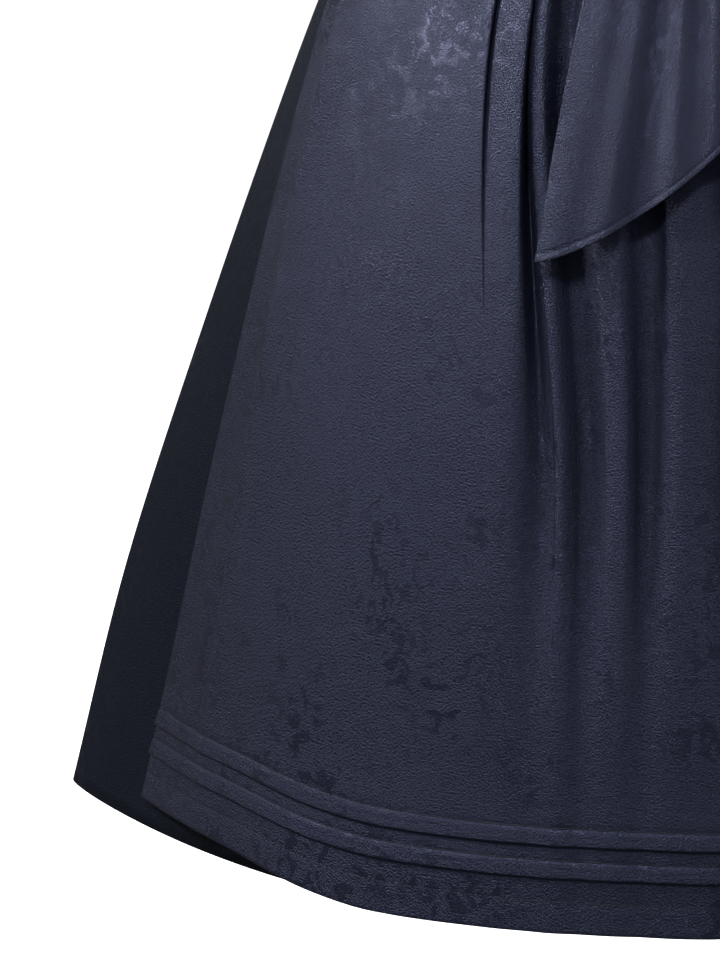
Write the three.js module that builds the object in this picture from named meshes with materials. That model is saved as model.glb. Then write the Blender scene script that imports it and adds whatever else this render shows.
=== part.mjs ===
// A dirndl, filled out as it is when worn, with no wearer: a sleeveless bodice on princess seams with
// two shoulder straps and a buttoned front, a long bell skirt of four gores, and a pleated apron with
// two tucks above its hem, tied on by a ribbon that ends in a bow at the centre front.
//
// Millimetres, +Z up. The front faces -Y and the wearer's left is +X. The origin is midway between
// the tops of the two straps, where the shoulders carry the dress.

import * as THREE from "three";

// Driving dimensions.
const WAIST_Z = -400;
const SKIRT_LENGTH = 650;
const SEAM_GAP = 0.3;
const HALF_GAP = SEAM_GAP / 2;
const SKIRT_CLOTH = 1.2;
const APRON_CLOTH = 1.2;
const RIBBON_CLOTH = 1.2;
const BODICE_CLOTH = 1.6;

const COLOURS = {
  skirt: { color: 0x1f2836, roughness: 0.8 },
  bodice: { color: 0x1f2836, roughness: 0.8 },
  apron: { color: 0x2f3450, roughness: 0.5 },
  ribbon: { color: 0x343a58, roughness: 0.45 },
  button: { color: 0x262f40, roughness: 0.6 },
};

// Smooth curve through the rows of a table, from one column to another.
function through(rows, from, to) {
  const last = rows.length - 1;
  const slope = (i, j) => (rows[j][to] - rows[i][to]) / (rows[j][from] - rows[i][from]);
  const tangent = (i) => slope(Math.max(i - 1, 0), Math.min(i + 1, last));
  return (x) => {
    let i = 0;
    while (i < last - 1 && x > rows[i + 1][from]) i += 1;
    const [a, b] = [rows[i], rows[i + 1]];
    const span = b[from] - a[from];
    const t = THREE.MathUtils.clamp((x - a[from]) / span, 0, 1);
    const [t2, t3] = [t * t, t * t * t];
    return (
      (2 * t3 - 3 * t2 + 1) * a[to] +
      (t3 - 2 * t2 + t) * span * tangent(i) +
      (3 * t2 - 2 * t3) * b[to] +
      (t3 - t2) * span * tangent(i + 1)
    );
  };
}

const { lerp, clamp, smoothstep } = THREE.MathUtils;
const bump = (x, at, width) => Math.exp(-(((x - at) / width) ** 2));
const steps = (from, to, count) =>
  Array.from({ length: count + 1 }, (_, i) => lerp(from, to, i / count));

// Plan sections of the filled-out dress, by height above the waist: half width at the side seams,
// depth to the centre front and centre back, how far the plan has gone from an ellipse to a lens
// with a soft fold down each side seam, and how far its centre has moved forward.
const SECTIONS = [
  { height: -650, half: 349, front: 275, back: 262, lens: 0.88, centre: -10 },
  { height: -520, half: 318, front: 252, back: 240, lens: 0.84, centre: -8 },
  { height: -385, half: 275, front: 221, back: 212, lens: 0.74, centre: -5 },
  { height: -250, half: 227, front: 184, back: 176, lens: 0.56, centre: -2 },
  { height: -140, half: 184, front: 148, back: 140, lens: 0.32, centre: 0 },
  { height: -60, half: 153, front: 119, back: 112, lens: 0.1, centre: 0 },
  { height: 0, half: 130, front: 98, back: 92, lens: 0, centre: 0 },
  { height: 70, half: 136, front: 102, back: 92, lens: 0, centre: 0 },
  { height: 140, half: 146, front: 107, back: 93, lens: 0, centre: 0 },
  { height: 205, half: 154, front: 111, back: 95, lens: 0, centre: 0 },
  { height: 260, half: 152, front: 108, back: 97, lens: 0, centre: 0 },
  { height: 330, half: 143, front: 92, back: 94, lens: 0, centre: 0 },
  { height: 400, half: 126, front: 66, back: 78, lens: 0, centre: 0 },
];
const LENS_POWER = 2.45;
const section = Object.fromEntries(
  ["half", "front", "back", "lens", "centre"].map((key) => [key, through(SECTIONS, "height", key)]),
);

const quarterSizes = new Map();
function quarterSize(height, isFront) {
  const key = `${height} ${isFront}`;
  if (!quarterSizes.has(key)) {
    const depth = isFront ? section.front(height) : section.back(height);
    const size = { half: section.half(height), depth, lens: section.lens(height) };
    quarterSizes.set(key, { ...size, centre: section.centre(height) });
  }
  return quarterSizes.get(key);
}

// A quarter of the plan, by its angle from the centre front or the centre back, with its direction.
function quarterPoint(size, angle) {
  const share = Math.sin(angle);
  const ellipse = Math.cos(angle);
  const lens = 1 - share ** LENS_POWER;
  const lensSlope = LENS_POWER * share ** (LENS_POWER - 1) * ellipse;
  return {
    x: size.half * share,
    y: size.depth * ((1 - size.lens) * ellipse + size.lens * lens),
    dx: size.half * ellipse,
    dy: -size.depth * ((1 - size.lens) * share + size.lens * lensSlope),
  };
}

// Arc lengths along a quarter, kept for each height that is asked for.
const QUARTER_STEPS = 90;
const quarterArcs = new Map();
function quarterArc(height, isFront) {
  const key = `${height} ${isFront}`;
  if (!quarterArcs.has(key)) {
    const size = quarterSize(height, isFront);
    const arc = [0];
    let before = quarterPoint(size, 0);
    for (const angle of steps(0, Math.PI / 2, QUARTER_STEPS).slice(1)) {
      const here = quarterPoint(size, angle);
      arc.push(arc.at(-1) + Math.hypot(here.x - before.x, here.y - before.y));
      before = here;
    }
    quarterArcs.set(key, arc);
  }
  return quarterArcs.get(key);
}

function outwards(quarter, isRight, isFront, height, out) {
  const length = Math.hypot(quarter.dx, quarter.dy);
  const x = quarter.x - (out * quarter.dy) / length;
  const y = quarter.y + (out * quarter.dx) / length;
  const { centre } = quarterSize(height, isFront);
  return new THREE.Vector3(isRight ? -x : x, (isFront ? -y : y) + centre, WAIST_Z + height);
}

// A place round the dress: 0 is the centre front, 1 and -1 the wearer's left and right side seams,
// 2 and -2 the centre back, in equal lengths of cloth between them. The point is moved outwards.
function around(place, height, out = 0) {
  const turn = place - 4 * Math.round(place / 4);
  const isFront = Math.abs(turn) <= 1;
  const arc = quarterArc(height, isFront);
  const wanted = (isFront ? Math.abs(turn) : 2 - Math.abs(turn)) * arc[QUARTER_STEPS];
  let i = 0;
  while (i < QUARTER_STEPS - 1 && arc[i + 1] < wanted) i += 1;
  const step = i + (wanted - arc[i]) / (arc[i + 1] - arc[i]);
  const quarter = quarterPoint(quarterSize(height, isFront), (step * Math.PI) / 2 / QUARTER_STEPS);
  return outwards(quarter, turn < 0, isFront, height, out);
}

// The front of the dress at a distance from the centre front, measured straight across.
function across(x, height, out = 0) {
  const size = quarterSize(height, true);
  const angle = Math.asin(clamp(Math.abs(x) / size.half, 0, 1));
  return outwards(quarterPoint(size, angle), x < 0, true, height, out);
}

const levelNormal = (before, after) =>
  new THREE.Vector3(after.y - before.y, before.x - after.x, 0).normalize();

// Normals of a grid of points, whose columns run to the viewer's right and rows upwards. A level
// normal keeps a hem or a waist seam in one level plane.
function gridNormals(rows, isLevelRow) {
  const at = (j, i) => rows[clamp(j, 0, rows.length - 1)][clamp(i, 0, rows[0].length - 1)];
  return rows.map((row, j) =>
    row.map((_, i) => {
      const [before, after] = [at(j, i - 1), at(j, i + 1)];
      if (isLevelRow(j, rows.length - 1)) return levelNormal(before, after);
      const up = at(j + 1, i).clone().sub(at(j - 1, i));
      return after.clone().sub(before).cross(up).normalize();
    }),
  );
}

const everyRow = () => true;
const endRows = (j, last) => j === 0 || j === last;
const noRow = () => false;

// Closed solid of a cloth wall: an outer grid of points, and an inner one the cloth's thickness
// behind it along the normals. Rows may be raised in front of the grid the inner one is made from.
function wall(rows, cloth, { level = everyRow, normals = gridNormals(rows, level), plain = rows } = {}) {
  const [high, wide] = [rows.length, rows[0].length];
  const positions = rows.flat().flatMap((p) => p.toArray());
  plain.forEach((row, j) =>
    row.forEach((p, i) => {
      positions.push(...p.clone().addScaledVector(normals[j][i], -cloth).toArray());
    }),
  );
  const outer = (j, i) => j * wide + i;
  const inner = (j, i) => high * wide + j * wide + i;
  const index = [];
  const quad = (a, b, c, d) => index.push(a, b, c, a, c, d);
  const [top, end] = [high - 1, wide - 1];
  for (let j = 0; j < top; j += 1) {
    for (let i = 0; i < end; i += 1) {
      quad(outer(j, i), outer(j, i + 1), outer(j + 1, i + 1), outer(j + 1, i));
      quad(inner(j, i), inner(j + 1, i), inner(j + 1, i + 1), inner(j, i + 1));
    }
    quad(outer(j, 0), outer(j + 1, 0), inner(j + 1, 0), inner(j, 0));
    quad(outer(j, end), inner(j, end), inner(j + 1, end), outer(j + 1, end));
  }
  for (let i = 0; i < end; i += 1) {
    quad(outer(0, i), inner(0, i), inner(0, i + 1), outer(0, i + 1));
    quad(outer(top, i), outer(top, i + 1), inner(top, i + 1), inner(top, i));
  }
  const geometry = new THREE.BufferGeometry();
  geometry.setAttribute("position", new THREE.Float32BufferAttribute(positions, 3));
  geometry.setIndex(index);
  return geometry;
}

// A wall lying round the dress, from a grid of places and heights and a rule for how far out it is.
const NORMAL_STEP = 0.004;
function dressWall(grid, out, cloth) {
  const point = (place, height) => around(place, height, out(place, height));
  const rows = grid.map((row) => row.map(({ place, height }) => point(place, height)));
  const normals = grid.map((row) =>
    row.map(({ place, height }) =>
      levelNormal(point(place - NORMAL_STEP, height), point(place + NORMAL_STEP, height)),
    ),
  );
  return wall(rows, cloth, { normals });
}

const dirndl = new THREE.Group();
function add(name, finish, geometry) {
  geometry.computeVertexNormals();
  const mesh = new THREE.Mesh(geometry, new THREE.MeshStandardMaterial(COLOURS[finish]));
  mesh.name = name;
  dirndl.add(mesh);
}

const BOTH_SIDES = [
  { side: "left", sign: 1 },
  { side: "right", sign: -1 },
];

// The skirt's long folds: where a crest leaves the waist and where it meets the hem, its width as a
// share of a gore, and how far it stands out at the hem. They lie flat under the apron.
const SKIRT_FOLDS = [
  { waist: -1.93, hem: -1.9, width: 0.085, depth: 11 },
  { waist: -1.7, hem: -1.66, width: 0.07, depth: 15 },
  { waist: -1.5, hem: -1.44, width: 0.085, depth: 10 },
  { waist: -1.26, hem: -1.21, width: 0.06, depth: 13 },
  { waist: 0.88, hem: 0.9, width: 0.04, depth: 5 },
  { waist: 1.17, hem: 1.13, width: 0.06, depth: 8 },
  { waist: 1.36, hem: 1.34, width: 0.075, depth: 14 },
  { waist: 1.62, hem: 1.58, width: 0.07, depth: 10 },
  { waist: 1.83, hem: 1.8, width: 0.08, depth: 14 },
];
const SKIRT_GATHERS = 9;
const GATHER_DEPTHS = [
  { drop: 0, depth: 0.5 },
  { drop: 28, depth: 0.5 },
  { drop: 60, depth: 2 },
  { drop: 120, depth: 1.2 },
  { drop: 190, depth: 0 },
];
const gatherDepth = through(GATHER_DEPTHS, "drop", "depth");

function skirtOut(place, height) {
  const drop = -height;
  const fall = drop / SKIRT_LENGTH;
  const behind = smoothstep(Math.abs(place), 0.97, 1.1);
  let out = behind * gatherDepth(drop) * Math.sin(2 * Math.PI * SKIRT_GATHERS * place);
  for (const fold of SKIRT_FOLDS) {
    const width = fold.width * (0.7 + 0.3 * fall);
    const swell = fold.depth * smoothstep(drop, 40, SKIRT_LENGTH);
    out += swell * bump(place, lerp(fold.waist, fold.hem, fall), width);
  }
  return out * smoothstep(Math.abs(place), 0.4, 0.9);
}

const SKIRT_DROPS = [SKIRT_LENGTH, 565, 475, 380, 280, 190, 120, 75, 45, 26, 10, HALF_GAP];
function skirtGore(from, to, columns) {
  const grid = SKIRT_DROPS.map((drop) => {
    const gap = HALF_GAP / quarterArc(-drop, Math.abs(from + to) < 2)[QUARTER_STEPS];
    const places = steps(from + gap, to - gap, columns);
    return places.map((place) => ({ place, height: -drop }));
  });
  return dressWall(grid, skirtOut, SKIRT_CLOTH);
}

for (const gore of [
  { name: "skirt_back_right", from: -2, to: -1, columns: 32 },
  { name: "skirt_front_right", from: -1, to: 0, columns: 24 },
  { name: "skirt_front_left", from: 0, to: 1, columns: 24 },
  { name: "skirt_back_left", from: 1, to: 2, columns: 32 },
]) {
  add(gore.name, "skirt", skirtGore(gore.from, gore.to, gore.columns));
}

// The bodice: its top edge round one half, and the princess seams that part its panels.
const TOP_EDGE = [
  { place: 0, height: 222 },
  { place: 0.25, height: 227 },
  { place: 0.42, height: 246 },
  { place: 0.52, height: 263 },
  { place: 0.68, height: 259 },
  { place: 0.84, height: 212 },
  { place: 1, height: 198 },
  { place: 1.16, height: 206 },
  { place: 1.32, height: 250 },
  { place: 1.44, height: 297 },
  { place: 1.6, height: 303 },
  { place: 1.8, height: 292 },
  { place: 2, height: 289 },
];
const topEdge = through(TOP_EDGE, "place", "height");
const topAt = (place) => topEdge(Math.min(Math.abs(place), 4 - Math.abs(place)));
const PRINCESS_SEAM = [
  { height: 0, place: 0.45 },
  { height: 110, place: 0.47 },
  { height: 200, place: 0.52 },
  { height: 262, place: 0.56 },
];
const princess = through(PRINCESS_SEAM, "height", "place");
const BACK_SEAM = 1.5;
const BUST = { place: 0.52, height: 198, width: 0.3, rise: 62, out: 30 };

function bodiceOut(place, height) {
  const turn = Math.min(Math.abs(place), 4 - Math.abs(place));
  return BUST.out * bump(turn, BUST.place, BUST.width) * bump(height, BUST.height, BUST.rise);
}

const PANEL_ROWS = [0, 0.05, 0.1, 0.2, 0.34, 0.48, 0.62, 0.76, 0.88, 1];
function panel(from, to, columns) {
  const highest = 262;
  const grid = PANEL_ROWS.map((v) =>
    steps(0, 1, columns).map((u) => {
      const top = topAt(lerp(from(highest), to(highest), u));
      const height = lerp(HALF_GAP, top, v);
      const gap = HALF_GAP / quarterArc(height, true)[QUARTER_STEPS];
      return { place: lerp(from(height) + gap, to(height) - gap, u), height };
    }),
  );
  return dressWall(grid, bodiceOut, BODICE_CLOTH);
}

const seamAt = (place) => () => place;
const mirrored = (line) => (height) => -line(height);
for (const { name, from, to, columns } of [
  { name: "bodice_front_left", from: seamAt(0), to: princess, columns: 8 },
  { name: "bodice_front_right", from: mirrored(princess), to: seamAt(0), columns: 8 },
  { name: "bodice_side_left", from: princess, to: seamAt(1), columns: 9 },
  { name: "bodice_side_right", from: seamAt(-1), to: mirrored(princess), columns: 9 },
  { name: "bodice_back_side_left", from: seamAt(1), to: seamAt(BACK_SEAM), columns: 7 },
  { name: "bodice_back_side_right", from: seamAt(4 - BACK_SEAM), to: seamAt(3), columns: 7 },
  { name: "bodice_back", from: seamAt(BACK_SEAM), to: seamAt(4 - BACK_SEAM), columns: 12 },
]) {
  add(name, "bodice", panel(from, to, columns));
}

// The straps run from the front panels' top edges over the shoulders to the back's.
const STRAP = {
  front: [0.525, 0.675],
  back: [1.595, 1.46],
  over: [
    { inner: [83, -78, -88], outer: [121, -72, -92] },
    { inner: [80, -42, -30], outer: [121, -38, -36] },
    { inner: [79, 4, 0], outer: [121, 4, -6] },
    { inner: [76, 44, -24], outer: [117, 42, -32] },
  ],
  gap: 0.45,
  rows: 14,
  columns: 6,
};

function strapFoot(place) {
  const height = topEdge(place) + STRAP.gap;
  return around(place, height, bodiceOut(place, height));
}

function strapLine(share) {
  const foot = ([inner, outer]) => strapFoot(lerp(inner, outer, share));
  const over = STRAP.over.map(({ inner, outer }) =>
    new THREE.Vector3(...inner).lerp(new THREE.Vector3(...outer), share),
  );
  return new THREE.CatmullRomCurve3([foot(STRAP.front), ...over, foot(STRAP.back)]);
}

function strap(sign) {
  const lines = steps(0, 1, STRAP.columns).map((u) => strapLine(sign > 0 ? u : 1 - u));
  const rows = steps(0, 1, STRAP.rows).map((v) =>
    lines.map((line) => {
      const p = line.getPoint(v);
      return new THREE.Vector3(sign * p.x, p.y, p.z);
    }),
  );
  return wall(rows, BODICE_CLOTH, { level: endRows });
}

for (const { side, sign } of BOTH_SIDES) add(`strap_${side}`, "bodice", strap(sign));

// The placket covers the centre front seam and carries seven covered buttons.
const PLACKET = { width: 22, cloth: 1.2, off: 0.4 };
const BUTTONS = { count: 7, first: 33, pitch: 29, radius: 7, off: 0.6, edge: 1.8, dome: 2.4, facets: 20 };

const placketOut = (x, height) => PLACKET.off + PLACKET.cloth + bodiceOut(x / 160, height);
const placketRows = PANEL_ROWS.slice(2).map((v) => {
  const height = lerp(HALF_GAP, topEdge(0), v);
  const columns = steps(-PLACKET.width / 2, PLACKET.width / 2, 4);
  return columns.map((x) => across(x, height, placketOut(x, height)));
});
add("placket", "bodice", wall(placketRows, PLACKET.cloth));

function button(height) {
  const { radius, edge, dome } = BUTTONS;
  const profile = [
    [0, 0],
    [radius, 0],
    [radius, edge],
    [radius * 0.75, edge + dome * 0.62],
    [radius * 0.4, edge + dome * 0.92],
    [0, edge + dome],
  ].map(([x, y]) => new THREE.Vector2(x, y));
  const geometry = new THREE.LatheGeometry(profile, BUTTONS.facets);
  const foot = across(0, height, placketOut(0, height) + BUTTONS.off);
  const [low, high] = [-5, 5].map((step) => across(0, height + step, placketOut(0, height + step)));
  geometry.rotateX(Math.atan2(high.y - low.y, low.z - high.z));
  geometry.translate(foot.x, foot.y, foot.z);
  return geometry;
}

for (let i = 0; i < BUTTONS.count; i += 1) {
  add(`button_${i + 1}`, "button", button(BUTTONS.first + i * BUTTONS.pitch));
}

// The apron, as lines of cloth that run from the band to the hem. Each row gives a line's distances
// from the centre front at four drops below the waist, and how far it stands off the dress at all
// of them but the first, where every line meets the band.
const BAND_OUT = 2;
const APRON_DROPS = [26, 200, 425, 645];
const APRON_LINES = [
  { x: [-136, -204.5, -257.5, -301], out: [5, 6, 7] },
  { x: [-131, -200, -250, -293], out: [5.5, 6.5, 8] },
  { x: [-126, -194.6, -240, -281], out: [5, 6.5, 11] },
  { x: [-124, -192.6, -238, -277], out: [11, 12.5, 13] },
  { x: [-117, -184, -229, -264], out: [14, 15, 17] },
  { x: [-108, -172, -212, -242], out: [15, 17, 20] },
  { x: [-97, -158, -193, -217], out: [16, 18.5, 22] },
  { x: [-87, -144, -171, -190], out: [17, 19.5, 24] },
  { x: [-78, -131, -149, -163], out: [17.5, 20, 25] },
  { x: [-70, -119, -130, -141], out: [17, 20, 25.5] },
  { x: [-65, -113.5, -117, -127], out: [15, 19.5, 26] },
  { x: [-62.5, -110.5, -112, -119], out: [10, 18.5, 26] },
  { x: [-60, -107, -107, -112], out: [17, 18, 26] },
  { x: [-56, -102, -101, -104], out: [20, 17, 26] },
  { x: [-52, -94.5, -94, -95], out: [17, 14, 25.5] },
  { x: [-49, -89.5, -88, -85.5], out: [7, 10.5, 24.5] },
  { x: [-46, -85, -82.5, -78], out: [16, 13.5, 25] },
  { x: [-43, -79.5, -76, -70], out: [18, 18, 26] },
  { x: [-39, -71, -66, -61], out: [16.5, 17, 26.5] },
  { x: [-33, -58, -52, -50], out: [13.5, 15, 26] },
  { x: [-28, -48, -44, -43], out: [17, 18, 26.5] },
  { x: [-23, -38, -37, -36], out: [15, 14.5, 26] },
  { x: [-18, -29, -30, -29], out: [8, 10, 25] },
  { x: [-13, -22, -22, -22], out: [17, 18.5, 26.5] },
  { x: [-6, -10, -11, -11], out: [19, 20, 27] },
  { x: [2, 3, 3, 4], out: [15, 16.5, 26] },
  { x: [8, 14, 15, 15], out: [9, 12, 25] },
  { x: [14, 23, 24, 25], out: [17, 18, 26] },
  { x: [22, 36, 38, 39], out: [18, 19.5, 27] },
  { x: [30, 50, 52, 53], out: [13, 14, 26] },
  { x: [35, 60, 62, 63], out: [7, 10, 24.5] },
  { x: [39.5, 67, 70, 72], out: [16, 17, 25.5] },
  { x: [46, 79, 83, 87], out: [18, 20, 26] },
  { x: [54, 94, 99, 105], out: [15, 18, 25.5] },
  { x: [60, 105, 108, 118], out: [8, 13, 24.5] },
  { x: [64, 111, 116, 128], out: [16, 17.5, 25] },
  { x: [72, 123, 134, 150], out: [17.5, 20, 25] },
  { x: [84, 140, 158, 178], out: [17, 19.5, 24] },
  { x: [97, 158, 184, 209], out: [16, 18, 22] },
  { x: [109, 173, 208, 239], out: [15, 17, 20] },
  { x: [118, 184, 226, 263], out: [14, 15, 17] },
  { x: [124, 192, 237, 278], out: [11, 12, 13.5] },
  { x: [126, 194, 239.5, 282], out: [5, 6.5, 11] },
  { x: [131, 199, 249, 293], out: [5.5, 6.5, 8] },
  { x: [136, 204, 257, 301], out: [5, 6, 7] },
];
const APRON_HEM = { drop: 647, lift: 13, from: 190, to: 301 };
const apronLines = APRON_LINES.map((line, i) => {
  const outs = [BAND_OUT, ...line.out];
  const rows = APRON_DROPS.map((drop, k) => ({ drop, x: line.x[k], out: outs[k] }));
  const lift = APRON_HEM.lift * smoothstep(Math.abs(line.x.at(-1)), APRON_HEM.from, APRON_HEM.to);
  return {
    x: through(rows, "drop", "x"),
    out: through(rows, "drop", "out"),
    hem: APRON_HEM.drop - lift,
    gather: i % 2 ? 1 : -1,
  };
});

const APRON_GATHERS = [
  { drop: 26, depth: 0 },
  { drop: 55, depth: 1.4 },
  { drop: 100, depth: 0.8 },
  { drop: 160, depth: 0 },
];
const apronGather = through(APRON_GATHERS, "drop", "depth");
const TUCK = { width: 10, raise: 1.6, fold: 0.4, edges: [48, 29.5] };
const APRON_UPPER_DROPS = [520, 450, 380, 320, 260, 200, 130, 90, 60, 42, 26.3];
const APRON_PLAIN_HEIGHTS = [62, 12, 0];

// Rows near the hem go by their height above it; the others keep their drop below the waist.
const hemHeights = [
  ...APRON_PLAIN_HEIGHTS.map((above) => ({ above, raise: 0 })),
  ...TUCK.edges.flatMap((edge) => [
    { above: edge + TUCK.width + TUCK.fold, raise: 0 },
    { above: edge + TUCK.width, raise: TUCK.raise * 0.5 },
    { above: edge, raise: TUCK.raise },
    { above: edge - TUCK.fold, raise: 0 },
  ]),
].sort((a, b) => a.above - b.above);

function apronRow(dropOf, raise) {
  return apronLines.map((line) => {
    const drop = dropOf(line);
    return across(line.x(drop), -drop, line.out(drop) + line.gather * apronGather(drop) + raise);
  });
}

const apronRows = (withTucks) => [
  ...hemHeights.map(({ above, raise }) => apronRow((line) => line.hem - above, withTucks ? raise : 0)),
  ...APRON_UPPER_DROPS.map((drop) => apronRow(() => drop, 0)),
];
const plainApron = apronRows(false);
const apronNormals = gridNormals(plainApron, everyRow);
add("apron", "apron", wall(apronRows(true), APRON_CLOTH, { plain: plainApron, normals: apronNormals }));

// The band over the apron's gathers, and the ribbon that is tied over it right round the waist.
const BAND = { heights: [-26, -20, -10, 0, 15, 18], reach: 0.87, out: BAND_OUT, cloth: 1.6 };
const TIE = { heights: [-20, -10, 0, 15], cloth: 1.3, overBand: 3.65, onDress: 2.25, start: 0.1 };
const TIE_JOIN = BAND.reach + 0.01;

function sash({ from, to, heights, out, cloth, columns }) {
  const places = steps(from, to, columns);
  const grid = heights.map((height) => places.map((place) => ({ place, height })));
  return dressWall(grid, () => out, cloth);
}

add("apron_band", "apron", sash({ ...BAND, from: -BAND.reach, to: BAND.reach, columns: 34 }));
const frontTie = { ...TIE, out: TIE.overBand, columns: 16 };
add("tie_front_left", "ribbon", sash({ ...frontTie, from: TIE.start, to: TIE_JOIN - 0.002 }));
add("tie_front_right", "ribbon", sash({ ...frontTie, from: 0.002 - TIE_JOIN, to: -TIE.start }));
add("tie_back", "ribbon", sash({ ...TIE, out: TIE.onDress, from: TIE_JOIN, to: 4 - TIE_JOIN, columns: 34 }));

// The bow. Its knot is a strip of ribbon wrapped over the root of the loops, from under them to over
// them, open towards the waist. Rows give its depth behind the knot's front and its height.
const KNOT = { halfWidth: 17, front: -113.8, z: WAIST_Z - 3, pinch: 0.09, columns: 4 };
const KNOT_PATH = [
  { back: 9.2, up: -15.5 },
  { back: 5.5, up: -17 },
  { back: 1.8, up: -13.5 },
  { back: 0, up: -6 },
  { back: 0, up: 6 },
  { back: 1.8, up: 13.5 },
  { back: 7, up: 17 },
  { back: 14, up: 15.5 },
];
const knotRows = KNOT_PATH.map(({ back, up }) =>
  steps(-1, 1, KNOT.columns).map((u) => {
    const pinch = 1 - KNOT.pinch * (1 - u * u);
    return new THREE.Vector3(u * KNOT.halfWidth, KNOT.front + back, KNOT.z + up * pinch);
  }),
);
add("bow_knot", "ribbon", wall(knotRows, RIBBON_CLOTH, { level: noRow }));

// A loop leaves the knot in front, turns back at its far end and returns behind, standing a little
// off the apron. Rows of the table run along that path: distance from the centre front, how far the
// loop stands off the dress, height of its middle over the waist and half its width.
const LOOP = [
  { x: 17.4, out: 16.9, middle: -3, half: 12 },
  { x: 34, out: 26, middle: -5, half: 21 },
  { x: 60, out: 34, middle: -12, half: 31 },
  { x: 88, out: 35, middle: -21, half: 36 },
  { x: 106, out: 31, middle: -28, half: 37 },
  { x: 113, out: 25, middle: -30, half: 37 },
  { x: 107, out: 19, middle: -28, half: 37 },
  { x: 88, out: 17, middle: -21, half: 35 },
  { x: 60, out: 13, middle: -12, half: 30 },
  { x: 34, out: 11.4, middle: -5, half: 20 },
  { x: 17.4, out: 8.6, middle: -3, half: 11 },
];
const LOOP_CUP = 3;
const LOOP_MIDDLE_OUT = 18;

function bowLoop(sign) {
  const path = sign > 0 ? [...LOOP].reverse() : LOOP;
  const rows = steps(-1, 1, 4).map((v) =>
    path.map(({ x, out, middle, half }) => {
      const cup = LOOP_CUP * (1 - v * v) * Math.sign(out - LOOP_MIDDLE_OUT);
      return across(sign * x, middle + v * half, out + cup);
    }),
  );
  return wall(rows, RIBBON_CLOTH, { level: noRow });
}

for (const { side, sign } of BOTH_SIDES) add(`bow_loop_${side}`, "ribbon", bowLoop(sign));

// The tails hang from the knot over the apron. Each row gives the tail's inner and outer edges by
// their distance from the centre front, and how far it stands off the dress.
const TAILS = {
  right: [
    { drop: 20.4, inner: -2, outer: 20, out: 4.5 },
    { drop: 60, inner: -3, outer: 29, out: 12 },
    { drop: 115, inner: -5, outer: 44, out: 19 },
    { drop: 180, inner: -8, outer: 60, out: 24 },
    { drop: 245, inner: -9, outer: 72, out: 26 },
    { drop: 312, inner: -6, outer: 85, out: 27 },
  ],
  left: [
    { drop: 20.4, inner: 4, outer: 21, out: 4.5 },
    { drop: 60, inner: 6, outer: 32, out: 12 },
    { drop: 115, inner: 10, outer: 50, out: 19 },
    { drop: 180, inner: 14, outer: 68, out: 24 },
    { drop: 245, inner: 15, outer: 82, out: 26 },
    { drop: 305, inner: 13, outer: 95, out: 27 },
  ],
};
const TAIL = { slant: 58, waves: 1.5, wave: 2.2, rows: 10, columns: 10 };

function tail(side, sign) {
  const lines = Object.fromEntries(
    ["inner", "outer", "out"].map((key) => [key, through(TAILS[side], "drop", key)]),
  );
  const [first, last] = [TAILS[side][0].drop, TAILS[side].at(-1).drop];
  const rows = steps(1, 0, TAIL.rows).map((v) =>
    steps(0, 1, TAIL.columns).map((u) => {
      const share = sign > 0 ? u : 1 - u;
      const drop = lerp(first, last - TAIL.slant * (1 - share), v);
      const wave = TAIL.wave * v * Math.sin(2 * Math.PI * TAIL.waves * share);
      const x = lerp(lines.inner(drop), lines.outer(drop), share);
      return across(sign * x, -drop, lines.out(drop) + wave);
    }),
  );
  return wall(rows, RIBBON_CLOTH);
}

for (const { side, sign } of BOTH_SIDES) add(`bow_tail_${side}`, "ribbon", tail(side, sign));

export default dirndl;
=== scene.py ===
"""A dirndl, filled out as it is when worn: dark navy jacquard dress, violet navy satin apron.

The photograph is a close-up of the skirt's right front with the apron's hem, so the camera takes in
that part of a whole dress. Cloth is laid out in millimetres round the same plan sections as the
frame's solids and turned into metres when a mesh is made. The front faces -Y and z is up.
"""

import math

import bpy
import numpy as np
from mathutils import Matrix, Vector


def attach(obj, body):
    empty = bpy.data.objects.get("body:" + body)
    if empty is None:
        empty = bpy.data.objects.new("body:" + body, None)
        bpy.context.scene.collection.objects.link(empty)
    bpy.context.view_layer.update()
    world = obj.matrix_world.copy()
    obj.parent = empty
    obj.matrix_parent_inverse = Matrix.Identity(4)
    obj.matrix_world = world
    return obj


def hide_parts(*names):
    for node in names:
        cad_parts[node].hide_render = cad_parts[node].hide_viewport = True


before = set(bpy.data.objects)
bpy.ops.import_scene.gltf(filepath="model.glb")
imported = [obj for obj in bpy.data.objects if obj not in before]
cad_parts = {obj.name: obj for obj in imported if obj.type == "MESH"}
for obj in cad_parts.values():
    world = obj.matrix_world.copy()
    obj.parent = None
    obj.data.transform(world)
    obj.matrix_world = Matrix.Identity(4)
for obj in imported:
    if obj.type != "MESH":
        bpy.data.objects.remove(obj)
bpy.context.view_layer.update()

MM = 0.001
WAIST_Z = -400.0
SKIRT_LENGTH = 650.0
WHOLE_TURN = 4

# Plan sections of the dress


def through(xs, ys, x):
    """Smooth curve through the points (xs, ys), read at every x."""
    xs, ys, x = np.asarray(xs, float), np.asarray(ys, float), np.asarray(x, float)
    last = len(xs) - 1
    below, above = np.maximum(np.arange(last + 1) - 1, 0), np.minimum(np.arange(last + 1) + 1, last)
    tangent = (ys[above] - ys[below]) / (xs[above] - xs[below])
    i = np.clip(np.searchsorted(xs, x, side="right") - 1, 0, last - 1)
    span = xs[i + 1] - xs[i]
    t = np.clip((x - xs[i]) / span, 0, 1)
    return (
        (2 * t**3 - 3 * t**2 + 1) * ys[i]
        + (t**3 - 2 * t**2 + t) * span * tangent[i]
        + (3 * t**2 - 2 * t**3) * ys[i + 1]
        + (t**3 - t**2) * span * tangent[i + 1]
    )


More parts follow.
